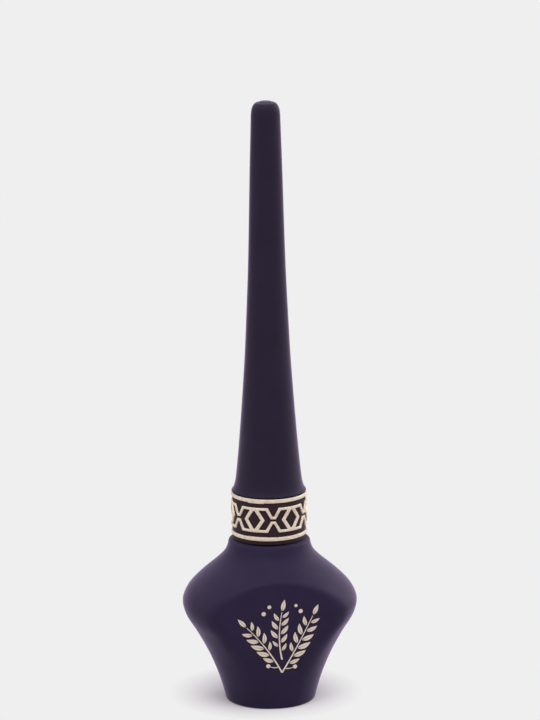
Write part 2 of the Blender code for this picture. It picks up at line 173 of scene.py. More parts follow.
class SurfaceBoard(NodeBoard):
    """The board of a new material, with a Principled shader and short ways to paint with it."""

    def __init__(self, name: str) -> None:
        """Start the material with its shader and output.

        Args:
            name: The material's name.
        """
        self.material = bpy.data.materials.new(name)
        super().__init__(self.material)
        self.surface = self.add("ShaderNodeOutputMaterial").inputs["Surface"]
        self.shader = self.add("ShaderNodeBsdfPrincipled")
        self.link(self.shader.outputs["BSDF"], self.surface)
        self.place = self.add("ShaderNodeTexCoord").outputs["Object"]

    def noise(self, size: float, detail: float, stretch: Place | None = None) -> Socket:
        """Noise on object coordinates.

        Args:
            size: The grain's size in metres.
            detail: Octaves of finer grain.
            stretch: Scale of each axis, where the grain is drawn out.

        Returns:
            The noise's value, about 0 to 1.
        """
        source = self.place
        if stretch is not None:
            mapping = self.add("ShaderNodeMapping")
            mapping.inputs["Scale"].default_value = stretch
            self.link(source, mapping.inputs["Vector"])
            source = mapping.outputs["Vector"]
        grain = self.add("ShaderNodeTexNoise")
        grain.inputs["Scale"].default_value = 1.0 / size
        grain.inputs["Detail"].default_value = detail
        self.link(source, grain.inputs["Vector"])
        return grain.outputs["Fac"]

    def spread(self, value: Socket, low: float = 0.0, high: float = 1.0,
               start: float = 0.35, end: float = 0.65) -> Socket:
        """Map a value's useful part onto a range.

        Args:
            value: The socket to map.
            low: The result at start and below.
            high: The result at end and above.
            start: The value that gives low.
            end: The value that gives high.

        Returns:
            The mapped value.
        """
        mapped = self.add("ShaderNodeMapRange")
        for name, number in (("From Min", start), ("From Max", end), ("To Min", low), ("To Max", high)):
            mapped.inputs[name].default_value = number
        self.link(value, mapped.inputs["Value"])
        return mapped.outputs["Result"]

    def blend_colours(self, share: Socket, first: Colour, second: Colour) -> None:
        """Give the shader a base colour that goes from one colour to another.

        Args:
            share: 0 for the first colour, 1 for the second.
            first: The first colour.
            second: The second colour.
        """
        mix = self.add("ShaderNodeMix", data_type="RGBA")
        mix.inputs["A"].default_value = (*first, 1.0)
        mix.inputs["B"].default_value = (*second, 1.0)
        self.link(share, mix.inputs["Factor"])
        self.link(mix.outputs["Result"], self.shader.inputs["Base Color"])

    def vary_roughness(self, value: Socket, between: Range) -> None:
        """Give the shader a roughness that rises from one number to another with a value."""
        self.link(self.spread(value, *between), self.shader.inputs["Roughness"])

    def bump(self, height: Socket, depth: float, strength: float) -> None:
        """Raise the surface with a height, on top of any bump that is there already.

        Args:
            height: The height, 0 to 1.
            depth: The height in metres of a value of 1.
            strength: How much of the bump shows.
        """
        node = self.add("ShaderNodeBump")
        node.inputs["Strength"].default_value = strength
        node.inputs["Distance"].default_value = depth
        self.link(height, node.inputs["Height"])
        below = self.shader.inputs["Normal"]
        if below.is_linked:
            self.link(below.links[0].from_socket, node.inputs["Normal"])
        self.link(node.outputs["Normal"], below)

    def set(self, **values: object) -> None:
        """Set constant values on the shader's own sockets, with spaces for underscores."""
        for name, value in values.items():
            self.shader.inputs[name.replace("_", " ")].default_value = value


@dataclass(frozen=True)
class Finish:
    """The look of one kind of surface."""

    def material(self, name: str) -> Material:
        """Make a material with this look.

        Args:
            name: The material's name.

        Returns:
            The new material.
        """
        board = SurfaceBoard(name)
        self.paint(board)
        return board.material

    def paint(self, board: SurfaceBoard) -> None:
        """Give a shader its colours, roughness and relief. Each kind of finish does it in its own way."""
        raise NotImplementedError


@dataclass(frozen=True)
class SoftTouchFinish(Finish):
    """Matt soft-touch lacquer: a deep colour, fine orange peel and a pale bloom at grazing angles."""

    colour: Colour = (0.0230, 0.0156, 0.0428)
    bloom_colour: Colour = (0.0256, 0.0173, 0.0474)
    roughness: Range = (0.52, 0.58)
    specular: float = 0.085
    sheen: float = 0.60
    sheen_roughness: float = 0.30
    sheen_tint: Colour = (0.82, 0.60, 1.0)
    cloud_size: float = 6.0 * MM
    haze_size: float = 2.0 * MM
    grain_size: float = 0.12 * MM
    grain_depth: float = 0.004 * MM
    peel_size: float = 1.44 * MM
    peel_depth: float = 0.012 * MM

    def paint(self, board: SurfaceBoard) -> None:
        """Paint faint clouds of bloom and a sheen, over fine grain and orange peel.

        Args:
            board: The new material's board.
        """
        clouds = board.noise(self.cloud_size, detail=3.0)
        board.blend_colours(board.spread(clouds), self.colour, self.bloom_colour)
        board.vary_roughness(board.noise(self.haze_size, detail=2.0), self.roughness)
        board.set(Sheen_Weight=self.sheen, Sheen_Roughness=self.sheen_roughness,
                  Sheen_Tint=(*self.sheen_tint, 1.0), Specular_IOR_Level=self.specular)
        board.bump(board.noise(self.grain_size, detail=2.0), self.grain_depth, strength=0.35)
        board.bump(board.noise(self.peel_size, detail=1.0), self.peel_depth, strength=0.15)


@dataclass(frozen=True)
class GiltFinish(Finish):
    """Pale-gold stamped foil: satin, a little uneven, with fine pits where it met the mould."""

    colour: Colour = (0.80, 0.68, 0.56)
    worn_colour: Colour = (0.66, 0.54, 0.43)
    metallic: float = 0.55
    roughness: Range = (0.36, 0.50)
    patch_size: float = 0.9 * MM
    pit_size: float = 0.08 * MM
    pit_depth: float = 0.006 * MM

    def paint(self, board: SurfaceBoard) -> None:
        """Paint foil with worn patches, pits and slight waves.

        Args:
            board: The new material's board.
        """
        patches = board.noise(self.patch_size, detail=4.0)
        board.blend_colours(board.spread(patches, start=0.42, end=0.72), self.colour, self.worn_colour)
        board.vary_roughness(patches, self.roughness)
        board.set(Metallic=self.metallic)
        board.bump(board.noise(self.pit_size, detail=2.0), self.pit_depth, strength=0.5)
        board.bump(board.noise(self.patch_size, detail=1.0), self.pit_depth * 2.0, strength=0.3)


@dataclass(frozen=True)
class PolymerFinish(Finish):
    """Moulded plastic: a colour with slight flow clouds, a fine skin and, if wanted, light inside it."""

    colour: Colour
    shade: Colour
    roughness: Range
    inner_light: float = 0.0
    light_reach: float = 0.6 * MM
    light_tint: Colour = (1.0, 0.9, 0.8)
    cloud_size: float = 2.5 * MM
    skin_size: float = 0.2 * MM
    skin_depth: float = 0.003 * MM

    def paint(self, board: SurfaceBoard) -> None:
        """Paint flow clouds over a fine skin.

        Args:
            board: The new material's board.
        """
        clouds = board.noise(self.cloud_size, detail=3.0)
        board.blend_colours(board.spread(clouds), self.colour, self.shade)
        board.vary_roughness(clouds, self.roughness)
        if self.inner_light:
            board.set(Subsurface_Weight=self.inner_light, Subsurface_Radius=self.light_tint,
                      Subsurface_Scale=self.light_reach)
        board.bump(board.noise(self.skin_size, detail=2.0), self.skin_depth, strength=0.3)


@dataclass(frozen=True)
class HairFinish(Finish):
    """Dyed brush hair: dark, with lighter streaks drawn out along the tuft and a soft gloss."""

    colour: Colour = (0.012, 0.009, 0.010)
    streak: Colour = (0.050, 0.036, 0.034)
    roughness: Range = (0.38, 0.53)
    streak_size: float = 0.12 * MM
    streak_stretch: Place = (1.0, 1.0, 0.04)

    def paint(self, board: SurfaceBoard) -> None:
        """Paint streaks along the hairs.

        Args:
            board: The new material's board.
        """
        along = board.noise(self.streak_size, detail=2.0, stretch=self.streak_stretch)
        board.blend_colours(board.spread(along), self.colour, self.streak)
        board.vary_roughness(along, self.roughness)
        board.set(Sheen_Weight=0.2, Sheen_Roughness=0.4)


@dataclass(frozen=True)
class LabelFinish(Finish):
    """Film sticker: off-white with a printed plum border ring, fibres and a faint gloss."""

    colour: Colour = (0.78, 0.76, 0.72)
    ring_colour: Colour = (0.10, 0.07, 0.14)
    ring_radius: float = 6.1 * MM
    ring_start: float = 0.081 * MM
    ring_end: float = 0.099 * MM
    roughness: Range = (0.45, 0.60)
    fibre_size: float = 0.15 * MM
    fibre_depth: float = 0.004 * MM

    def paint(self, board: SurfaceBoard) -> None:
        """Paint the ring on paper fibres. Its colour starts and ends at two distances from its middle.

        Args:
            board: The new material's board.
        """
        flat = board.add("ShaderNodeVectorMath", operation="MULTIPLY")
        flat.inputs[1].default_value = (1.0, 1.0, 0.0)
        board.link(board.place, flat.inputs[0])
        length = board.add("ShaderNodeVectorMath", operation="LENGTH")
        board.link(flat.outputs["Vector"], length.inputs[0])
        away = board.calculate("SUBTRACT", length.outputs["Value"], self.ring_radius)
        distance = board.calculate("ABSOLUTE", away)
        ring = board.spread(distance, 1.0, 0.0, self.ring_start, self.ring_end)
        board.blend_colours(ring, self.colour, self.ring_colour)
        fibres = board.noise(self.fibre_size, detail=3.0)
        board.vary_roughness(fibres, self.roughness)
        board.bump(fibres, self.fibre_depth, strength=0.3)


BOTTLE_PLUM = SoftTouchFinish()
CAP_PLUM = SoftTouchFinish(colour=(0.0192, 0.0133, 0.0300), bloom_colour=(0.0218, 0.0149, 0.0334),
                           sheen=0.78)
# The collar ring: its own dark plum, with a brown tint painted in for the reflection of the gilt rims and
# fretwork.
RING_PLUM_PAINTED_GILT_REFLECTION = SoftTouchFinish(colour=(0.0300, 0.0172, 0.0210), bloom_colour=(0.0330, 0.0188, 0.0232),
                            sheen=0.1)
GILT = GiltFinish()
INK = GiltFinish(colour=(0.79, 0.68, 0.55), worn_colour=(0.73, 0.62, 0.49), metallic=0.25,
                 roughness=(0.44, 0.58), pit_depth=0.002 * MM)
NATURAL = PolymerFinish((0.62, 0.61, 0.585), (0.57, 0.56, 0.535), (0.38, 0.46), inner_light=0.25)
SEAL_FOAM = PolymerFinish((0.66, 0.65, 0.62), (0.61, 0.60, 0.57), (0.71, 0.79), skin_size=0.06 * MM,
                          skin_depth=0.012 * MM)
BLACK = PolymerFinish((0.014, 0.013, 0.016), (0.020, 0.018, 0.022), (0.26, 0.34))
HAIR = HairFinish()
LABEL = LabelFinish()


def deselect() -> None:
    """Leave edit mode and deselect every object."""
    if bpy.context.object and bpy.context.object.mode != "OBJECT":
        bpy.ops.object.mode_set(mode="OBJECT")
    bpy.ops.object.select_all(action="DESELECT")


def make_active(piece: Piece) -> None:
    """Select one object alone and make it the active one.

    Args:
        piece: The object to select.
    """
    deselect()
    piece.select_set(True)
    bpy.context.view_layer.objects.active = piece


def edit_all(piece: Piece) -> None:
    """Enter edit mode on a piece with all of it selected.

    Args:
        piece: The object to edit.
    """
    make_active(piece)
    bpy.ops.object.mode_set(mode="EDIT")
    bpy.ops.mesh.select_all(action="SELECT")


def apply_modifier(piece: Piece, kind: str, **values: object) -> None:
    """Add a modifier and apply it.

    Args:
        piece: The object to change.
        kind: The modifier's type.
        values: Settings of the modifier by name.
    """
    make_active(piece)
    modifier = piece.modifiers.new(kind, kind)
    configure(modifier, values)
    bpy.ops.object.modifier_apply(modifier=modifier.name)


def rounded(corners: list[Corner], steps: int = 5) -> list[Point]:
    """Draw each corner that has a rounding as a short curve.

    Args:
        corners: Radius, height and rounding of each corner, all in metres.
        steps: Points along each rounding, less one.

    Returns:
        The outline's points as radius and height.
    """
    outline: list[Point] = []
    for index, (radius, height, rounding) in enumerate(corners):
        corner = Vector((radius, height))
        if not rounding:
            outline.append((radius, height))
            continue
        before = Vector(corners[index - 1][:2]) - corner
        after = Vector(corners[(index + 1) % len(corners)][:2]) - corner
        start = corner + before.normalized() * min(rounding, before.length / 2.0)
        end = corner + after.normalized() * min(rounding, after.length / 2.0)
        for step in range(steps + 1):
            share = step / steps
            point = start.lerp(corner, share).lerp(corner.lerp(end, share), share)
            outline.append((point.x, point.y))
    return outline


def sharp(points: list[Point]) -> list[Corner]:
    """Corners without rounding."""
    return [(radius, height, 0.0) for radius, height in points]


def curve_radius(knots: list[Point], heights: np.ndarray) -> np.ndarray:
    """Radii on a cubic line through knots that swings past none of them.

    Args:
        knots: Height and radius of each knot, from the lowest up.
        heights: Heights at which the radius is wanted.

    Returns:
        The radius at each height.
    """
    ups, outs = np.array(knots).T
    widths = np.diff(ups)
    rises = np.diff(outs) / widths
    slopes = np.empty(len(ups))
    slopes[0], slopes[-1] = rises[0], rises[-1]
    for index in range(1, len(rises)):
        below, above = rises[index - 1], rises[index]
        near, far = widths[index - 1], widths[index]
        turns_back = below * above <= 0.0
        slopes[index] = 0.0 if turns_back else (
            3.0 * (near + far) / ((2.0 * far + near) / below + (far + 2.0 * near) / above))
    at = np.clip(np.searchsorted(ups, heights, side="right") - 1, 0, len(widths) - 1)
    share = (heights - ups[at]) / widths[at]
    rest = 1.0 - share
    return (outs[at] * (1.0 + 2.0 * share) * rest ** 2 + outs[at + 1] * (3.0 - 2.0 * share) * share ** 2
            + widths[at] * share * rest * (slopes[at] * rest - slopes[at + 1] * share))


def smooth_radius(knots: list[Point], heights: np.ndarray, softness: float) -> np.ndarray:
    """Radii on a smooth line through knots, evened out along the height.

    Args:
        knots: Height and radius of each knot, from the lowest up.
        heights: Evenly spaced heights at which the radius is wanted.
        softness: How far along the height the line is evened out, in metres.

    Returns:
        The radius at each height.
    """
    radii = curve_radius(knots, heights)
    pace = heights[1] - heights[0]
    reach = max(1, round(2.5 * softness / pace))
    window = np.exp(-0.5 * (np.arange(-reach, reach + 1) * pace / softness) ** 2)
    first, last = radii[1] - radii[0], radii[-1] - radii[-2]
    padded = np.concatenate([radii[0] - first * np.arange(reach, 0, -1), radii,
                             radii[-1] + last * np.arange(1, reach + 1)])
    return np.convolve(padded, window / window.sum(), mode="valid")


def new_piece(name: str) -> Piece:
    """Start an empty mesh object at the origin and enter edit mode on it.

    Args:
        name: The new object's name.

    Returns:
        The object, in edit mode.
    """
    deselect()
    bpy.ops.mesh.primitive_plane_add(size=MM, location=(0.0, 0.0, 0.0))
    piece = bpy.context.object
    piece.name = name
    piece.data.name = name
    bpy.ops.object.mode_set(mode="EDIT")
    bpy.ops.mesh.select_all(action="SELECT")
    bpy.ops.mesh.delete(type="VERT")
    return piece


def draw_line(piece: Piece, places: list[Vector], closed: bool = False) -> None:
    """Draw a line in edit mode, as by hand: merge a small plane to a point and extrude it along.

    Args:
        piece: The object in edit mode.
        places: The line's points.
        closed: Whether an edge joins the line's ends.
    """
    bpy.ops.mesh.primitive_plane_add(size=MM, location=(0.0, 0.0, 0.0))
    bpy.ops.mesh.merge(type="CENTER")
    bpy.ops.transform.translate(value=places[0])
    for place, next_place in zip(places, places[1:]):
        bpy.ops.mesh.extrude_region_move(TRANSFORM_OT_translate={"value": next_place - place})
    if closed:
        work = bmesh.from_edit_mesh(piece.data)
        for vertex in work.verts:
            vertex.select = len(vertex.link_edges) == 1
        work.select_flush_mode()
        bmesh.update_edit_mesh(piece.data)
        bpy.ops.mesh.edge_face_add()


def weld(merge: float = 0.0005 * MM) -> None:
    """Merge doubled points of the piece in edit mode, turn its faces outwards and leave edit mode.

    Args:
        merge: Points that lie closer together than this become one.
    """
    bpy.ops.mesh.select_all(action="SELECT")
    bpy.ops.mesh.remove_doubles(threshold=merge)
    bpy.ops.mesh.normals_make_consistent(inside=False)
    bpy.ops.object.mode_set(mode="OBJECT")


def turn_outline(name: str, outline: list[Point], steps: int, ring: bool = False) -> Piece:
    """Draw an outline and spin it round the Z axis.

    Args:
        name: The new object's name.
        outline: Radius and height of each point.
        steps: Steps of the spin.
        ring: Whether the outline closes on itself instead of ending on the axis.

    Returns:
        The turned object, at the origin.
    """
    piece = new_piece(name)
    draw_line(piece, [Vector((radius, 0.0, height)) for radius, height in outline], ring)
    bpy.ops.mesh.select_all(action="SELECT")
    bpy.ops.mesh.spin(steps=steps, angle=TURN, center=(0.0, 0.0, 0.0), axis=(0.0, 0.0, 1.0))
    weld()
    return piece


def new_curve(name: str, **values: object) -> Curve:
    """Start a curve.

    Args:
        name: The curve's name.
        values: Settings of the curve by name.

    Returns:
        The curve, still empty.
    """
    curve = bpy.data.curves.new(name, "CURVE")
    configure(curve, values)
    return curve


def add_strand(curve: Curve, places: list[Place], widths: list[float]) -> bpy.types.Spline:
    """Add a line of straight steps to a curve.

    Args:
        curve: The curve that gets the line.
        places: The line's points.
        widths: Its width at each point, as a share of the curve's.

    Returns:
        The new line.
    """
    strand = curve.splines.new("POLY")
    strand.points.add(len(places) - 1)
    for point, place, width in zip(strand.points, places, widths):
        point.co = (*place, 1.0)
        point.radius = width
    return strand


def mesh_of_curve(name: str, curve: Curve) -> Piece:
    """Make a curve's evaluated shape an object with welded caps and outward normals.

    Args:
        name: The new object's name.
        curve: The curve to convert.

    Returns:
        The mesh object, at the origin.
    """
    source = bpy.data.objects.new(name, curve)
    bpy.context.scene.collection.objects.link(source)
    make_active(source)
    bpy.ops.object.convert(target="MESH")
    piece = bpy.context.object
    edit_all(piece)
    weld()
    return piece


def join_solids(piece: Piece, other: Piece) -> None:
    """Unite a piece with another object, which is then removed."""
    apply_modifier(piece, "BOOLEAN", operation="UNION", solver="EXACT", object=other)
    bpy.data.objects.remove(other, do_unlink=True)


def dress(piece: Piece, material: Material, body: Body, node: str | None = None,
          degrees: float = 35.0) -> None:
    """Finish a piece: material, shading, body, and the node that it stands for.

    Args:
        piece: The finished mesh.
        material: Its material.
        body: The body that it rides on.
        node: The frame's node that it replaces, whose material slot has the same name.
        degrees: Edges sharper than this stay sharp.
    """
    piece.data.materials.clear()
    piece.data.materials.append(material)
    make_active(piece)
    bpy.ops.object.shade_smooth_by_angle(angle=math.radians(degrees))
    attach(piece, body.value)
    if node:
        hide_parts(node)
    LOG.info("%s: %d vertices, rides on %s", piece.name, len(piece.data.vertices), body.value)


@dataclass(frozen=True)
class Thread:
    """The screw thread that the neck and the inner cap share, and the wall that it stands on."""

    neck_radius: float = 4.9 * MM
    neck_start: float = 38.6 * MM
    lead: float = 2.5 * MM
    turns: float = 1.5
    ridge: float = 0.6 * MM
    clearance: float = 0.15 * MM
    fade_share: float = 0.06
    end_sink: float = 0.3 * MM
    end_share: float = 0.35
    points_per_turn: int = 72

    @property
    def cap_radius(self) -> float:
        """The radius of the inner cap's wall, with room for the neck's ridge."""
        return self.clearance + self.ridge + self.neck_radius

    def ridge_piece(self, name: str, radius: float, start: float, sink: float) -> Piece:
        """Make a round ridge along the helix, with ends that run out into the wall.

        Args:
            name: The new object's name.
            radius: The helix's radius.
            start: The height of its lower end.
            sink: How far the ends lie outside of the helix, below zero for inside of it.

        Returns:
            The ridge as a closed mesh.
        """
        count = round(self.turns * self.points_per_turn)
        places, widths = [], []
        for index in range(count + 1):
            share = index / count
            angle = TURN * self.turns * share
            fade = math.sin(min(min(share, 1.0 - share) / self.fade_share, 1.0) * math.pi / 2.0)
            reach = radius + sink * (1.0 - fade)
            places.append((reach * math.cos(angle), reach * math.sin(angle),
                           start + self.lead * self.turns * share))
            widths.append(self.end_share + (1.0 - self.end_share) * fade)
        curve = new_curve(name, dimensions="3D", twist_mode="Z_UP", bevel_depth=self.ridge,
                          bevel_resolution=4, use_fill_caps=True)
        add_strand(curve, places, widths)
        return mesh_of_curve(name, curve)


@dataclass(frozen=True)
class Panel:
    """The flat on the bottle's front, and the one like it at the back: its foot's depth and its lean."""

    foot: float = 10.5 * MM
    lean: float = math.radians(5.7)

    def depth(self, height: float | np.ndarray) -> float | np.ndarray:
        """How far from the axis the panel lies at a height."""
        return self.foot + math.tan(self.lean) * height


@dataclass
class Bottle:
    """The vase-shaped bottle: two flat panels, base recess and label, threaded neck and wiper."""

    thread: Thread
    panel: Panel
    body_height: float = 35.55 * MM
    wall: float = 1.6 * MM
    floor: float = 1.6 * MM
    roof: float = 1.8 * MM
    bore: float = 3.7 * MM
    foot_round: float = 0.75 * MM
    ledge_round: float = 0.55 * MM
    recess_radius: float = 7.2 * MM
    recess_depth: float = 0.35 * MM
    softness: float = 0.7 * MM
    panel_edge_low: float = 2.2 * MM
    panel_edge_high: float = 0.75 * MM
    panel_edge_turn: float = 0.6
    panel_edge_turn_span: float = 0.2
    label_round: float = 0.04 * MM
    wiper_gap: float = 0.05 * MM
    wiper_wall: float = 0.5 * MM
    wiper_lip: float = 1.35 * MM
    wiper_cone_share: float = 0.6
    pace: float = 0.3 * MM
    steps: int = 192
    outline_shares: tuple[Point, ...] = (
        (0.0, 0.508), (0.113, 0.565), (0.281, 0.686), (0.450, 0.855), (0.549, 0.969), (0.619, 1.0),
        (0.689, 0.950), (0.788, 0.777), (0.872, 0.590), (0.928, 0.495), (1.0, 0.457),
    )

    def __post_init__(self) -> None:
        """Read the overall sizes from the frame."""
        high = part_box("bottle_body")[1]
        self.radius, self.neck_top = high.x, high.z
        self.rows = np.arange(0.0, self.body_height + self.pace / 2.0, self.pace)
        knots = [(up * self.body_height, out * self.radius) for up, out in self.outline_shares]
        self.radii = smooth_radius(knots, self.rows, self.softness)
        self.radii *= self.radius / self.radii.max()

    def outline(self) -> list[Point]:
        """Draw the wall from the cavity's floor up the inside, over the rim and down to the base.

        Returns:
            Radius and height of each point.
        """
        roof = self.body_height - self.roof
        ledge = self.body_height - 2.0 * self.ledge_round
        neck = self.thread.neck_radius
        side = list(zip(self.radii, self.rows))
        inner = [(radius - self.wall, row) for radius, row in side if self.floor < row < roof]
        outer = [(radius, row) for radius, row in side if self.foot_round < row < ledge]
        return rounded([
            (0.0, self.floor, 0.0),
            (inner[0][0], self.floor, 0.5 * MM),
            *sharp(inner[2:-2]),
            (inner[-1][0], roof, 0.4 * MM),
            (self.bore, roof, 0.3 * MM),
            (self.bore, self.neck_top, 0.15 * MM),
            (neck, self.neck_top, 0.3 * MM),
            (neck, self.body_height, 0.15 * MM),
            (self.radii[-1], self.body_height, self.ledge_round),
            *sharp(outer[::-1]),
            (self.radii[0], 0.0, self.foot_round),
            (self.recess_radius, 0.0, 0.1 * MM),
            (self.recess_radius, self.recess_depth, 0.05 * MM),
            (0.0, self.recess_depth, 0.0),
        ])

    def flatten_panels(self, piece: Piece) -> None:
        """Press the front and back flat, with an edge that is soft below and crisp above.

        Args:
            piece: The turned bottle.
        """
        places = np.empty(len(piece.data.vertices) * 3, np.float32)
        piece.data.vertices.foreach_get("co", places)
        places = places.reshape(-1, 3).astype(float)
        radius = np.hypot(places[:, 0], places[:, 1])
        outer = np.interp(places[:, 2], self.rows, self.radii)
        inside = radius < outer - self.wall / 2.0
        limit = self.panel.depth(places[:, 2]) - np.where(inside, self.wall, 0.0)
        rise = (places[:, 2] / self.body_height - self.panel_edge_turn) / self.panel_edge_turn_span
        blend = (self.panel_edge_low
                 + (self.panel_edge_high - self.panel_edge_low) * np.clip(rise, 0.0, 1.0))
        depth = np.abs(places[:, 1])
        share = np.clip((depth - limit) / blend, -1.0, 1.0)
        pressed = np.where(share >= 1.0, limit, depth - blend * (share + 1.0) ** 2 / 4.0)
        on_body = (places[:, 2] < self.body_height - self.ledge_round) & (share > -1.0)
        places[:, 1] = np.where(on_body, np.sign(places[:, 1]) * pressed, places[:, 1])
        piece.data.vertices.foreach_set("co", places.astype(np.float32).ravel())
        piece.data.update()

    def build_body(self) -> None:
        """Turn the bottle, press its panels and add the neck's thread."""
        piece = turn_outline("bottle", self.outline(), self.steps)
        self.flatten_panels(piece)
        thread = self.thread
        join_solids(piece, thread.ridge_piece("neck_ridge", thread.neck_radius, thread.neck_start,
                                              -thread.end_sink))
        dress(piece, BOTTLE_PLUM.material("soft_touch_bottle"), Body.BOTTLE, "bottle_body")

    def build_label(self) -> None:
        """Turn the base sticker, with its edge a little rounded."""
        low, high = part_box("base_label")
        corners = [(0.0, high.z, 0.0), (high.x, high.z, self.label_round),
                   (high.x, low.z, self.label_round), (0.0, low.z, 0.0)]
        piece = turn_outline("base_sticker", rounded(corners, steps=2), steps=128)
        dress(piece, LABEL.material("sticker_film"), Body.BOTTLE, "base_label")

    def build_wiper(self) -> None:
        """Turn the wiper with its rounded flange, sleeve, cone and thin lip."""
        low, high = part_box("wiper")
        flange_low = self.neck_top + self.wiper_gap
        outer = self.bore - self.wiper_gap
        inner = outer - self.wiper_wall
        lip = self.wiper_lip
        cone = flange_low - (flange_low - low.z) * self.wiper_cone_share
        corners = [
            (high.x, high.z, 0.12 * MM), (high.x, flange_low, 0.08 * MM), (outer, flange_low, 0.0),
            (outer, cone, 0.4 * MM), (lip + self.wiper_wall, low.z, 0.15 * MM), (lip, low.z, 0.08 * MM),
            (inner, cone, 0.5 * MM), (inner, high.z, 0.15 * MM),
        ]
        piece = turn_outline("wiper_insert", rounded(corners), steps=96, ring=True)
        dress(piece, NATURAL.material("natural_wiper"), Body.BOTTLE, "wiper")

    def build(self) -> None:
        """Build all pieces that stay with the bottle."""
        self.build_body()
        self.build_label()
        self.build_wiper()


@dataclass
class Applicator:
    """The seal, the rod and the brush's tuft of fine hairs."""

    seal_bore: float = 2.3 * MM
    seal_round: float = 0.12 * MM
    rod_radius: float = 1.25 * MM
    tip_radius: float = 1.1 * MM
    taper_share: float = 0.62
    flange_top: float = 45.15 * MM
    flange_thickness: float = 0.4 * MM
    socket_radius: float = 0.7 * MM
    socket_depth: float = 2.5 * MM
    hair_count: int = 380
    hair_radius: float = 0.034 * MM
    hair_thinning: float = 0.75
    hair_rings: int = 9
    root_radius: float = 0.64 * MM
    root_share: float = 0.94
    belly_radius: float = 0.86 * MM
    belly_share: float = 0.3
    gather_share: float = 0.97
    gather_power: float = 1.6
    stray: float = 0.02 * MM
    length_spread: float = 0.10
    seed: int = 11

    def build_seal(self) -> None:
        """Turn the soft ring, with its edges a little rounded."""
        low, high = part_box("seal_gasket")
        corners = [(radius, height, self.seal_round) for radius, height in (
            (high.x, high.z), (high.x, low.z), (self.seal_bore, low.z), (self.seal_bore, high.z))]
        piece = turn_outline("foam_seal", rounded(corners), steps=96, ring=True)
        dress(piece, SEAL_FOAM.material("seal_foam"), Body.SEAL, "seal_gasket")

    def build_rod(self) -> None:
        """Turn the stem, with its flange, its tapered end and the bore that holds the hair."""
        low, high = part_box("rod")
        radius, tip, socket = self.rod_radius, self.tip_radius, self.socket_radius
        flange_low = self.flange_top - self.flange_thickness
        taper = high.z - (high.z - low.z) * self.taper_share
        socket_top = low.z + self.socket_depth
        corners = [
            (0.0, high.z, 0.0), (radius, high.z, 0.15 * MM), (radius, self.flange_top, 0.0),
            (high.x, self.flange_top, 0.08 * MM), (high.x, flange_low, 0.12 * MM),
            (radius, flange_low, 0.1 * MM), (radius, taper, 0.5 * MM), (tip, low.z, 0.2 * MM),
            (socket, low.z, 0.06 * MM), (socket, socket_top, 0.0), (0.0, socket_top, 0.0),
        ]
        piece = turn_outline("brush_rod", rounded(corners), steps=64)
        dress(piece, BLACK.material("black_rod"), Body.APPLICATOR, "rod")

    def hair_line(self, start: Vector, shift: Vector, reach: float, top: float, length: float
                  ) -> list[Vector]:
        """The points of one hair.

        Args:
            start: Its place in the root, from the axis.
            shift: How far it strays from its neighbours.
            reach: Its length as a share of the tuft's.
            top: Height of the root.
            length: Length of the tuft.

        Returns:
            The hair's points from the root to its end.
        """
        line = []
        for ring in range(self.hair_rings):
            share = ring / (self.hair_rings - 1) * reach
            swell = math.sin(min(share / self.belly_share, 1.0) * math.pi / 2.0)
            width = 1.0 + (self.belly_radius / self.root_radius - 1.0) * swell
            if share > self.belly_share:
                rest = (share - self.belly_share) / (1.0 - self.belly_share)
                width *= 1.0 - rest ** self.gather_power * self.gather_share
            out = start * width + shift * share * (1.0 - share) * 4.0
            line.append(Vector((out.x, out.y, top - share * length)))
        return line

    def build_hairs(self) -> None:
        """Draw each hair as a fine tapered strand, all in one tuft that comes to a point."""
        low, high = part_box("bristles")
        chance = random.Random(self.seed)
        curve = new_curve("brush_hairs", dimensions="3D", bevel_depth=self.hair_radius,
                          bevel_resolution=0, use_fill_caps=True)
        widths = [1.0 - self.hair_thinning * (ring / (self.hair_rings - 1)) ** 2
                  for ring in range(self.hair_rings)]
        for index in range(self.hair_count):
            out = self.root_radius * math.sqrt((index + 0.5) / self.hair_count) * self.root_share
            angle = GOLDEN_ANGLE * index
            start = Vector((out * math.cos(angle), out * math.sin(angle)))
            shift = Vector([chance.uniform(-self.stray, self.stray) for _ in range(2)])
            reach = (1.0 - self.length_spread * chance.random() ** 2
                     - self.length_spread * (out / self.root_radius) ** 2)
            add_strand(curve, self.hair_line(start, shift, reach, high.z, high.z - low.z), widths)
        piece = mesh_of_curve("brush_hairs", curve)
        dress(piece, HAIR.material("dyed_hair"), Body.APPLICATOR, "bristles", degrees=80.0)

    def build(self) -> None:
        """Build the seal and the applicator."""
        self.build_seal()
        self.build_rod()
        self.build_hairs()


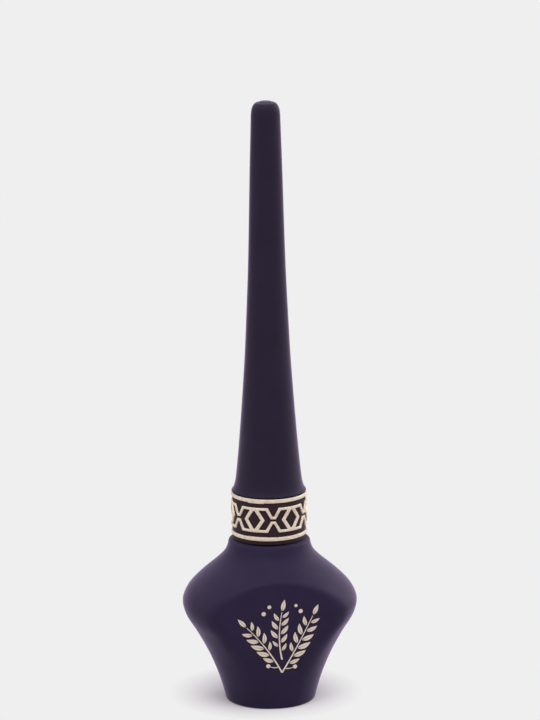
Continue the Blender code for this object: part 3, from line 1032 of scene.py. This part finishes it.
@dataclass
class Cap:
    """The long outer cap and the threaded inner cap."""

    thread: Thread
    wall: float = 1.1 * MM
    roof: float = 1.8 * MM
    edge_round: float = 1.35 * MM
    edge_drop: float = 2.4 * MM
    crown: float = 0.15 * MM
    nub_radius: float = 1.1 * MM
    nub_foot_radius: float = 1.4 * MM
    nub_foot_share: float = 0.4
    nub_round_share: float = 0.8
    nub_height: float = 0.08 * MM
    flare_over: float = 0.13 * MM
    flare_gap: float = 0.15 * MM
    skirt_radius: float = 6.95 * MM
    skirt_inner: float = 6.45 * MM
    lip_round: float = 0.12 * MM
    stop: float = 46.2 * MM
    stop_radius: float = 5.85 * MM
    liner_ceiling: float = 45.2 * MM
    liner_wall: float = 1.0 * MM
    plug_radius: float = 2.5 * MM
    socket_radius: float = 1.3 * MM
    edge_steps: int = 12
    softness: float = 0.8 * MM
    pace: float = 0.7 * MM
    steps: int = 160
    outline_shares: tuple[Point, ...] = (
        (0.0, 1.0), (0.009, 0.955), (0.0185, 0.919), (0.047, 0.878), (0.095, 0.826), (0.167, 0.760),
        (0.262, 0.683), (0.358, 0.615), (0.465, 0.559), (0.585, 0.505), (0.704, 0.470), (0.835, 0.436),
        (0.967, 0.395), (1.0, 0.389),
    )

    def __post_init__(self) -> None:
        """Read the overall sizes from the frame."""
        low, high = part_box("cap_shell")
        self.base, self.top, self.flare_radius = low.z, high.z - self.nub_height, high.x
        self.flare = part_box("collar")[1].z + 0.05 * MM

    def top_corners(self, radius: float) -> list[Corner]:
        """Draw the crowned top with its gate mark and its rounded edge.

        Args:
            radius: The cap's radius at the top.

        Returns:
            Corners from the axis out and down to where the side starts.
        """
        mark_top = self.top + self.nub_height
        mark_foot = self.top - self.crown * self.nub_foot_share
        mark_round = self.nub_height * self.nub_round_share
        corners = [(0.0, mark_top, 0.0), (self.nub_radius, mark_top, mark_round),
                   (self.nub_foot_radius, mark_foot, mark_round)]
        middle = radius - self.edge_round
        for step in range(1, self.edge_steps + 1):
            turn = math.pi / 2.0 * step / self.edge_steps
            corners.append((middle + self.edge_round * math.sin(turn),
                            self.top - self.crown - self.edge_drop * (1.0 - math.cos(turn)), 0.0))
        return corners

    def build_shell(self) -> None:
        """Turn the cap: gate mark, rounded top, hollow-sided taper, flared foot, skirt and inside."""
        height = self.top - self.flare
        knots = [(self.flare + up * height, out * self.flare_radius) for up, out in self.outline_shares]
        rows = np.linspace(self.flare, self.top, round(height / self.pace) + 1)
        radii = smooth_radius(knots, rows, self.softness)
        side = list(zip(radii, rows))
        edge_foot = self.top - self.crown - self.edge_drop
        roof = self.top - self.roof
        outer = [(radius, row) for radius, row in side[1:-1] if row < edge_foot]
        inner = [(min(radius - self.wall, self.stop_radius), row) for radius, row in side
                 if self.stop + self.pace < row < roof - self.pace]
        flare_edge = self.flare + self.flare_gap
        outline = rounded([
            *self.top_corners(radii[-1]),
            *sharp(outer[::-1]),
            (self.flare_radius + self.flare_over, flare_edge, self.lip_round),
            (self.skirt_radius, flare_edge, 0.0),
            (self.skirt_radius, self.base, self.lip_round),
            (self.skirt_inner, self.base, self.lip_round),
            (self.skirt_inner, self.stop, 0.0),
            (self.stop_radius, self.stop, 0.1 * MM),
            *sharp(inner),
            (radii[-1] - self.wall, roof, 0.4 * MM),
            (0.0, roof, 0.0),
        ])
        piece = turn_outline("outer_cap", outline, self.steps)
        dress(piece, CAP_PLUM.material("soft_touch_cap"), Body.CAP, "cap_shell")

    def build_inner(self) -> None:
        """Turn the inner cap with its plug and socket, and add its thread."""
        low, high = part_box("inner_cap")
        thread = self.thread
        root, plug, socket = thread.cap_radius, self.plug_radius, self.socket_radius
        ceiling, shoulder = self.liner_ceiling, self.liner_ceiling + self.liner_wall
        socket_top = high.z - self.liner_wall
        corners = [
            (0.0, high.z, 0.0), (plug, high.z, 0.2 * MM), (plug, shoulder, 0.15 * MM),
            (high.x, shoulder, 0.15 * MM), (high.x, low.z, 0.12 * MM), (root, low.z, 0.2 * MM),
            (root, ceiling, 0.15 * MM), (socket, ceiling, 0.05 * MM), (socket, socket_top, 0.0),
            (0.0, socket_top, 0.0),
        ]
        piece = turn_outline("inner_cap_liner", rounded(corners), steps=96)
        join_solids(piece, thread.ridge_piece("cap_ridge", root, thread.neck_start - thread.lead / 2.0,
                                              thread.end_sink))
        dress(piece, NATURAL.material("natural_inner_cap"), Body.CAP, "inner_cap")

    def build(self) -> None:
        """Build both caps."""
        self.build_shell()
        self.build_inner()


@dataclass(frozen=True)
class Rim:
    """One gilt rim, with the stretch where its foil laps over itself.

    The lap starts at the same side on both rims and ends at an angle. There the edge moves up or down.
    """

    node: str
    name: str
    lap_end_degrees: float
    lap: float


@dataclass
class Collar:
    """The dark ring round the cap's skirt with its raised gilt rims and fretwork."""

    repeats: int = 6
    turn_degrees: float = -1.4
    relief_round: float = 0.08 * MM
    relief_steps: Range = (0.62, 0.38)
    foil_gap: float = 0.01 * MM
    rim_trim: float = 0.03 * MM
    rim_crown: float = 0.05 * MM
    columns_per_repeat: int = 40
    cut_merge: float = 0.0001 * MM
    seam_merge: float = 0.001 * MM
    band_merge: float = 0.002 * MM
    wall: float = 0.67 * MM
    ring_over: float = 0.1 * MM
    ring_hang: float = 0.15 * MM
    lap_start_degrees: float = -131.7
    rims: tuple[Rim, ...] = (
        Rim("collar_rim_lower", "lower_rim", -100.0, 0.06 * MM),
        Rim("collar_rim_upper", "upper_rim", -105.8, -0.12 * MM),
    )

    def __post_init__(self) -> None:
        """Read the overall sizes from the frame."""
        low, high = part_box("collar")
        self.base, self.top, self.radius = low.z, high.z, high.x
        self.foil_radius = self.radius + self.foil_gap
        low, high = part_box("collar_fretwork")
        self.relief_radius = high.x
        self.middle = (low.z + high.z) / 2.0
        self.half_height = (high.z - low.z) / 2.0

    def build_ring(self) -> None:
        """Turn the ring, with softened edges. Its colour is a dark plum with a brown tint painted in for
        the gilt's reflection.
        """
        inner = self.radius - self.wall
        outer = self.radius + self.ring_over
        low = self.base - self.ring_hang
        corners = [(outer, self.top, 0.1 * MM), (outer, low, 0.15 * MM),
                   (inner, low, 0.1 * MM), (inner, self.top, 0.1 * MM)]
        piece = turn_outline("collar_ring", rounded(corners), steps=160, ring=True)
        dress(piece, RING_PLUM_PAINTED_GILT_REFLECTION.material("soft_touch_collar_painted_gilt_reflection"), Body.CAP, "collar")

    def build_rim(self, rim: Rim) -> None:
        """Turn one gilt rim, crowned a little across its width, with a step where its foil laps over.

        Args:
            rim: The rim to build.
        """
        low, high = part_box(rim.node)
        inner = self.foil_radius
        middle = (low.z + high.z) / 2.0
        top, base = high.z - self.rim_trim, low.z + self.rim_trim
        shoulder = self.relief_radius - self.rim_crown
        corners = [
            (shoulder, top, self.relief_round), (self.relief_radius, middle, 0.2 * MM),
            (shoulder, base, self.relief_round), (inner, base, 0.0), (inner, top, 0.0),
        ]
        piece = turn_outline(rim.name, rounded(corners), steps=192, ring=True)
        edit_all(piece)
        work = bmesh.from_edit_mesh(piece.data)
        start, end = math.radians(self.lap_start_degrees), math.radians(rim.lap_end_degrees)
        for vertex in work.verts:
            in_lap = start < math.atan2(vertex.co.y, vertex.co.x) < end
            vertex.select = in_lap and (vertex.co.z - middle) * rim.lap > 0.0
        work.select_flush_mode()
        bmesh.update_edit_mesh(piece.data)
        bpy.ops.transform.translate(value=(0.0, 0.0, rim.lap))
        bpy.ops.object.mode_set(mode="OBJECT")
        dress(piece, GILT.material(rim.name + "_foil"), Body.CAP, rim.node, degrees=50.0)

    def outlines(self) -> list[list[Point]]:
        """Draw the edge and the openings of one repeat, from hexagon centre to centre and a bit more.

        Returns:
            Closed outlines, as shares of half a repeat and of half the height.
        """
        diamond = [(0.035, 0.71), (0.355, 0.0), (0.035, -0.71), (-0.035, -0.71), (-0.355, 0.0),
                   (-0.035, 0.71)]
        waist = [(-0.77, 0.765), (-0.385, 0.765), (-0.125, 0.09), (0.125, 0.09), (0.385, 0.765),
                 (0.77, 0.765), (0.44, 0.0), (0.77, -0.765), (0.385, -0.765), (0.125, -0.09),
                 (-0.125, -0.09), (-0.385, -0.765), (-0.77, -0.765), (-0.44, 0.0)]
        upper = [(-1.45, 0.97), (-0.28, 0.97), (-0.045, 0.295), (0.045, 0.295), (0.28, 0.97), (1.45, 0.97)]
        edge = upper + [(along, -up) for along, up in reversed(upper)]
        left, right = [[(along + shift, up) for along, up in diamond] for shift in (-1.0, 1.0)]
        return [edge, waist, left, right]

    def flat_repeat(self) -> Piece:
        """Make one repeat flat, its height along Z: fill its outlines, raise it and round its edges.

        Returns:
            The open-ended repeat, cut into columns so that it can bend.
        """
        piece = new_piece("fretwork_band")
        half = math.pi * self.foil_radius / self.repeats
        for outline in self.outlines():
            places = [Vector((along * half, 0.0, up * self.half_height)) for along, up in outline]
            draw_line(piece, places, closed=True)
        bpy.ops.mesh.select_all(action="SELECT")
        bpy.ops.mesh.fill(use_beauty=True)
        thickness = self.relief_radius - self.foil_radius - self.relief_round
        bpy.ops.mesh.extrude_region_move(TRANSFORM_OT_translate={"value": (0.0, -thickness, 0.0)})
        for share in self.relief_steps:
            bpy.ops.mesh.inset(thickness=self.relief_round * (1.0 - share), depth=self.relief_round * share)
        for column in range(self.columns_per_repeat + 1):
            bpy.ops.mesh.select_all(action="SELECT")
            share = 2.0 * column / self.columns_per_repeat - 1.0
            bpy.ops.mesh.bisect(plane_co=(share * half, 0.0, 0.0), plane_no=(1.0, 0.0, 0.0),
                                threshold=self.cut_merge, clear_inner=column == 0,
                                clear_outer=column == self.columns_per_repeat)
        bpy.ops.object.mode_set(mode="OBJECT")
        return piece

    def build_fretwork(self) -> None:
        """Repeat the flat relief along its length and bend it to a closed band."""
        piece = self.flat_repeat()
        shift = TURN * self.foil_radius / self.repeats
        apply_modifier(piece, "ARRAY", count=self.repeats, use_relative_offset=False,
                       use_constant_offset=True, constant_offset_displace=(shift, 0.0, 0.0),
                       use_merge_vertices=True, merge_threshold=self.seam_merge)
        edit_all(piece)
        aside = math.radians(self.turn_degrees) * self.foil_radius
        bpy.ops.transform.translate(value=(aside, 0.0, 0.0))
        bpy.ops.object.mode_set(mode="OBJECT")
        apply_modifier(piece, "SIMPLE_DEFORM", deform_method="BEND", deform_axis="Z", angle=TURN)
        edit_all(piece)
        bpy.ops.transform.translate(value=(0.0, -self.foil_radius, self.middle))
        weld(self.band_merge)
        dress(piece, GILT.material("fretwork_foil"), Body.CAP, "collar_fretwork", degrees=40.0)

    def build(self) -> None:
        """Build the ring, the rims and the fretwork."""
        self.build_ring()
        for rim in self.rims:
            self.build_rim(rim)
        self.build_fretwork()


def direction(angle: float) -> Vector:
    """The flat unit vector at an angle."""
    return Vector((math.cos(angle), math.sin(angle)))


def left_of(ahead: Vector) -> Vector:
    """A flat vector turned a quarter to the left."""
    return Vector((-ahead.y, ahead.x))


@dataclass(frozen=True)
class Twig:
    """One twig of the print, in millimetres from the print's middle: a bent stem with leaves and berries.

    The stem runs from its foot towards a pull point and ends at its tip. Each leaf and each berry has its
    share of the way up the stem, its side (1 left, -1 right) and its length or reach.
    """

    foot: Point
    pull: Point
    tip: Point
    leaves: tuple[tuple[float, int, float], ...]
    berries: tuple[tuple[float, int, float], ...] = ()

    def place(self, share: float) -> Vector:
        """A place on the stem."""
        foot, pull, tip = Vector(self.foot), Vector(self.pull), Vector(self.tip)
        return foot.lerp(pull, share).lerp(pull.lerp(tip, share), share) * MM

    def heading(self, share: float) -> float:
        """The stem's direction at a place, as an angle."""
        ahead = self.place(min(share + HEADING_STEP, 1.0)) - self.place(share - HEADING_STEP)
        return math.atan2(ahead.y, ahead.x)


@dataclass
class Sprig:
    """The gilt print on the front panel: three slender twigs that fan out, with leaves and berries."""

    panel: Panel
    middle_height: float = 16.4 * MM
    aside: float = 0.6 * MM
    film: float = 0.03 * MM
    stem_width: float = 0.34 * MM
    stem_steps: int = 24
    pen_thinning: float = 0.6
    leaf_gap: float = 0.30 * MM
    leaf_angle: float = math.radians(52.0)
    leaf_bend: float = math.radians(30.0)
    leaf_width_share: float = 0.36
    leaf_belly: float = 0.8
    leaf_fullness: float = 0.9
    rib_width: float = 0.11 * MM
    leaf_points: int = 12
    stalk_angle: float = math.radians(75.0)
    stalk_bend: float = math.radians(6.0)
    stalk_width: float = 0.238 * MM
    stalk_steps: int = 7
    berry_radius: float = 0.46 * MM
    berry_points: int = 20
    berry_shrink: float = 0.12
    twigs: tuple[Twig, ...] = (
        Twig((0.3, -7.7), (-2.4, -2.2), (-7.3, 2.9),
             ((0.26, 1, 2.5), (0.40, 1, 2.9), (0.55, 1, 3.0), (0.70, 1, 2.7), (0.85, 1, 2.3),
              (0.47, -1, 2.0), (0.62, -1, 2.5), (0.77, -1, 2.5), (0.91, -1, 2.1), (1.03, 0, 2.5)),
             ((0.12, 1, 1.9),)),
        Twig((0.3, -7.7), (3.2, -2.8), (6.8, 5.0),
             ((0.22, -1, 2.4), (0.36, -1, 2.9), (0.50, -1, 3.0), (0.64, -1, 2.8), (0.78, -1, 2.5),
              (0.91, -1, 2.1), (0.42, 1, 2.2), (0.57, 1, 2.6), (0.71, 1, 2.6), (0.85, 1, 2.3),
              (1.02, 0, 2.5)),
             ((0.10, -1, 1.8),)),
        Twig((0.3, -4.7), (-0.9, 0.4), (0.2, 6.1),
             ((0.30, 1, 1.8), (0.48, 1, 2.4), (0.66, 1, 2.4), (0.83, 1, 2.1), (0.20, -1, 1.9),
              (0.38, -1, 2.3), (0.56, -1, 2.5), (0.74, -1, 2.3), (0.90, -1, 1.9), (1.03, 0, 2.6))),
    )
    loose_berries: tuple[Point, ...] = ((-3.7, 5.9), (-2.5, 7.4), (3.2, 7.5), (4.2, 6.2))

    def ribbon(self, points: list[Vector], width: float) -> list[Vector]:
        """Draw a line with a pen that thins towards its end.

        Args:
            points: The line's points.
            width: The pen's width at its start.

        Returns:
            The closed outline.
        """
        left, right = [], []
        for index, point in enumerate(points):
            before = points[max(index - 1, 0)]
            after = points[min(index + 1, len(points) - 1)]
            side = left_of((after - before).normalized())
            half = width / 2.0 * (1.0 - self.pen_thinning * index / (len(points) - 1))
            left.append(point + side * half)
            right.append(point - side * half)
        return left + right[::-1]

    def leaf_halves(self, foot: Vector, angle: float, length: float, bend: float) -> list[list[Vector]]:
        """Draw the two halves of a leaf, with its rib left bare between them.

        Args:
            foot: The leaf's foot.
            angle: The direction of its rib at the foot.
            length: Its length.
            bend: How far its rib turns by the tip.

        Returns:
            The closed outline of each half.
        """
        halves = []
        for side_sign in (1.0, -1.0):
            rib, rim = [], []
            place = foot.copy()
            for step in range(self.leaf_points + 1):
                share = step / self.leaf_points
                ahead = direction(angle + bend * share)
                side = left_of(ahead) * side_sign
                slit = self.rib_width / 2.0 * (1.0 - share)
                belly = math.sin(math.pi * share ** self.leaf_belly) ** self.leaf_fullness
                swell = length * self.leaf_width_share / 2.0 * belly
                rib.append(place + side * slit)
                rim.append(place + side * max(slit, swell))
                place = place + ahead * (length / self.leaf_points)
            halves.append(rib + rim[-2:0:-1])
        return halves

    def berry(self, centre: Vector, radius: float) -> list[Vector]:
        """The outline of one round berry."""
        return [centre + direction(TURN * index / self.berry_points) * radius
                for index in range(self.berry_points)]

    def twig_outlines(self, twig: Twig) -> list[list[Vector]]:
        """Draw the stem, leaves and stalked berries of one twig, none of them touching.

        Args:
            twig: The twig to draw.

        Returns:
            The closed outline of each shape.
        """
        stem = [twig.place(step / self.stem_steps) for step in range(self.stem_steps + 1)]
        shapes = [self.ribbon(stem, self.stem_width)]
        for share, side, length in twig.leaves:
            heading = twig.heading(min(share, 1.0))
            ahead = direction(heading)
            foot = twig.place(min(share, 1.0)) + left_of(ahead) * side * self.leaf_gap
            if not side:
                foot = foot + ahead * self.leaf_gap
            shapes += self.leaf_halves(foot, heading + side * self.leaf_angle, length * MM,
                                       -side * self.leaf_bend)
        for share, side, reach in twig.berries:
            heading = twig.heading(share) + side * self.stalk_angle
            stalk = [twig.place(share)]
            for step in range(self.stalk_steps):
                ahead = direction(heading - side * self.stalk_bend * step)
                stalk.append(stalk[-1] + ahead * reach * MM / self.stalk_steps)
            shapes.append(self.ribbon(stalk[1:], self.stalk_width))
            shapes.append(self.berry(stalk[-1] + ahead * self.berry_radius, self.berry_radius))
        return shapes

    def outlines(self) -> list[list[Vector]]:
        """Draw the whole print.

        Returns:
            The closed outline of each shape.
        """
        shapes = [shape for twig in self.twigs for shape in self.twig_outlines(twig)]
        for index, place in enumerate(self.loose_berries):
            radius = self.berry_radius * (1.0 - self.berry_shrink * (index % 3))
            shapes.append(self.berry(Vector(place) * MM, radius))
        return shapes

    def build(self) -> None:
        """Cut the outlines from a film and lay them on the front panel."""
        layers = []
        for index, outline in enumerate(self.outlines()):
            curve = new_curve("print_shape", dimensions="2D", fill_mode="BOTH", extrude=self.film / 2.0)
            places = [(place.x, place.y, 0.0) for place in outline]
            add_strand(curve, places, [1.0] * len(places)).use_cyclic_u = True
            layers.append(mesh_of_curve(f"print_{index}", curve))
        make_active(layers[0])
        for layer in layers[1:]:
            layer.select_set(True)
        bpy.ops.object.join()
        piece = bpy.context.object
        piece.name = "sprig_print"
        face = -self.panel.depth(self.middle_height) - self.film / 2.0
        lie = Matrix.Translation((self.aside, face, self.middle_height))
        piece.data.transform(lie @ Matrix.Rotation(math.radians(90.0) + self.panel.lean, 4, "X"))
        dress(piece, INK.material("print_ink"), Body.BOTTLE)


@dataclass(frozen=True)
class Lamp:
    """A soft box: its place and size in metres and its power in watts."""

    name: str
    place: Place
    size: Point
    watts: float

    def hang(self, target: Vector) -> None:
        """Hang the box so that it faces a target.

        Args:
            target: The place that it faces.
        """
        light = bpy.data.lights.new(self.name, "AREA")
        light.shape = "RECTANGLE"
        light.size, light.size_y = self.size
        light.energy = self.watts
        holder = bpy.data.objects.new(self.name, light)
        holder.location = self.place
        holder.rotation_euler = (target - Vector(self.place)).to_track_quat("-Z", "Y").to_euler()
        bpy.context.scene.collection.objects.link(holder)


@dataclass
class Studio:
    """The pale floor, the soft lamps and the camera."""

    backdrop: float = 0.863
    camera_turn: float = -8.0
    camera_away: float = 910.0 * MM
    camera_height: float = 285.2 * MM
    aim_height: float = 74.45 * MM
    focal_length: float = 220.45
    sensor_width: float = 36.0
    near: float = 0.01
    far: float = 50.0
    roll: float = 0.5
    aside: float = 0.50 * MM
    floor_size: float = 8.0
    # The near floor's colour is darker than the backdrop and tinted plum: painted shade round the base and
    # a painted bounce of the bottle's plum. The shadow values set its middle and the distances over which
    # it fades into the backdrop.
    floor_painted_shade: Colour = (0.695, 0.638, 0.693)
    shadow_middle: Place = (-0.5 * MM, 4.0 * MM, 0.0)
    shadow_start: float = 9.0 * MM
    shadow_end: float = 21.0 * MM
    ambient: float = 0.08
    lamps: tuple[Lamp, ...] = (
        Lamp("top_box", (0.0, -0.8, 1.8), (1.3, 1.3), 15.0),
        Lamp("right_box", (1.1, -1.1, 1.4), (1.2, 1.2), 10.0),
        Lamp("left_box", (-1.1, -1.1, 1.4), (1.2, 1.2), 11.0),
        Lamp("back_box", (0.0, 1.2, 1.6), (1.6, 1.0), 15.0),
        Lamp("back_right_box", (1.5, 0.6, 0.6), (1.3, 1.6), 17.5),
        Lamp("back_left_box", (-1.5, 0.4, 0.8), (1.0, 1.4), 6.0),
    )

    def __post_init__(self) -> None:
        """Work out the bottle's middle, which lamps and camera face, and the backdrop's colour."""
        self.target = Vector((0.0, 0.0, self.aim_height))
        self.backdrop_colour = (self.backdrop, self.backdrop, self.backdrop, 1.0)

    def floor_material(self) -> Material:
        """Make a matt floor that holds the shadow near the bottle and shows the backdrop further out. Near
        the bottle its colour is darker and more plum than the backdrop: painted shade that deepens the
        shadow round the base, and a painted bounce of the bottle's plum, both fading out with distance from
        the shadow's middle.

        Returns:
            The floor's material.
        """
        board = SurfaceBoard("studio_floor")
        board.set(Base_Color=(*self.floor_painted_shade, 1.0), Roughness=1.0, Specular_IOR_Level=0.0)
        glow = board.add("ShaderNodeEmission")
        glow.inputs["Color"].default_value = self.backdrop_colour
        # Distance from the shadow's middle: the painted shade and plum bounce fade into the backdrop
        # between shadow_start and shadow_end.
        distance = board.add("ShaderNodeVectorMath", operation="DISTANCE")
        distance.inputs[1].default_value = self.shadow_middle
        board.link(board.place, distance.inputs[0])
        away = board.spread(distance.outputs["Value"], start=self.shadow_start, end=self.shadow_end)
        seen = board.calculate("MULTIPLY", board.background_rays(), away)
        board.mix_shaders(seen, board.shader.outputs["BSDF"], glow.outputs["Emission"], board.surface)
        return board.material

    def build_floor(self) -> None:
        """Lay the floor under the object."""
        deselect()
        bpy.ops.mesh.primitive_plane_add(size=self.floor_size, location=(0.0, 0.0, 0.0))
        floor = bpy.context.object
        floor.name = "studio_floor"
        floor.data.materials.append(self.floor_material())

    def build_world(self) -> None:
        """Fill the room with a dim light, and show the backdrop's grey behind the object."""
        world = bpy.data.worlds.new("studio")
        bpy.context.scene.world = world
        board = NodeBoard(world)
        lit, shown = board.add("ShaderNodeBackground"), board.add("ShaderNodeBackground")
        lit.inputs["Color"].default_value = (1.0, 1.0, 1.0, 1.0)
        lit.inputs["Strength"].default_value = self.ambient
        shown.inputs["Color"].default_value = self.backdrop_colour
        surface = board.add("ShaderNodeOutputWorld").inputs["Surface"]
        board.mix_shaders(board.background_rays(), lit.outputs["Background"],
                          shown.outputs["Background"], surface)

    def build_camera(self) -> None:
        """Set the camera where the photograph was taken."""
        turn = math.radians(self.camera_turn)
        place = Vector((self.camera_away * math.sin(turn), -self.camera_away * math.cos(turn),
                        self.camera_height))
        data = bpy.data.cameras.new("photo_camera")
        configure(data, {"lens": self.focal_length, "sensor_width": self.sensor_width,
                         "clip_start": self.near, "clip_end": self.far})
        camera = bpy.data.objects.new("photo_camera", data)
        level = (self.target - place).to_track_quat("-Z", "Y").to_matrix().to_4x4()
        camera.matrix_world = (Matrix.Translation(place) @ level
                               @ Matrix.Translation((self.aside, 0.0, 0.0))
                               @ Matrix.Rotation(math.radians(-self.roll), 4, "Z"))
        bpy.context.scene.collection.objects.link(camera)
        bpy.context.scene.camera = camera
        bpy.context.scene.view_settings.view_transform = "Standard"

    def build(self) -> None:
        """Build the studio round the object."""
        self.build_floor()
        self.build_world()
        for lamp in self.lamps:
            lamp.hang(self.target)
        self.build_camera()


def main() -> None:
    """Load the frame and build each sub-assembly in order, noting each as it starts."""
    logging.basicConfig(level=logging.INFO, format="%(name)s: %(message)s")
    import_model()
    thread, panel = Thread(), Panel()
    for assembly in (Bottle(thread, panel), Applicator(), Cap(thread), Collar(), Sprig(panel), Studio()):
        LOG.info("building: %s", type(assembly).__name__)
        assembly.build()


if __name__ == "__main__":
    main()
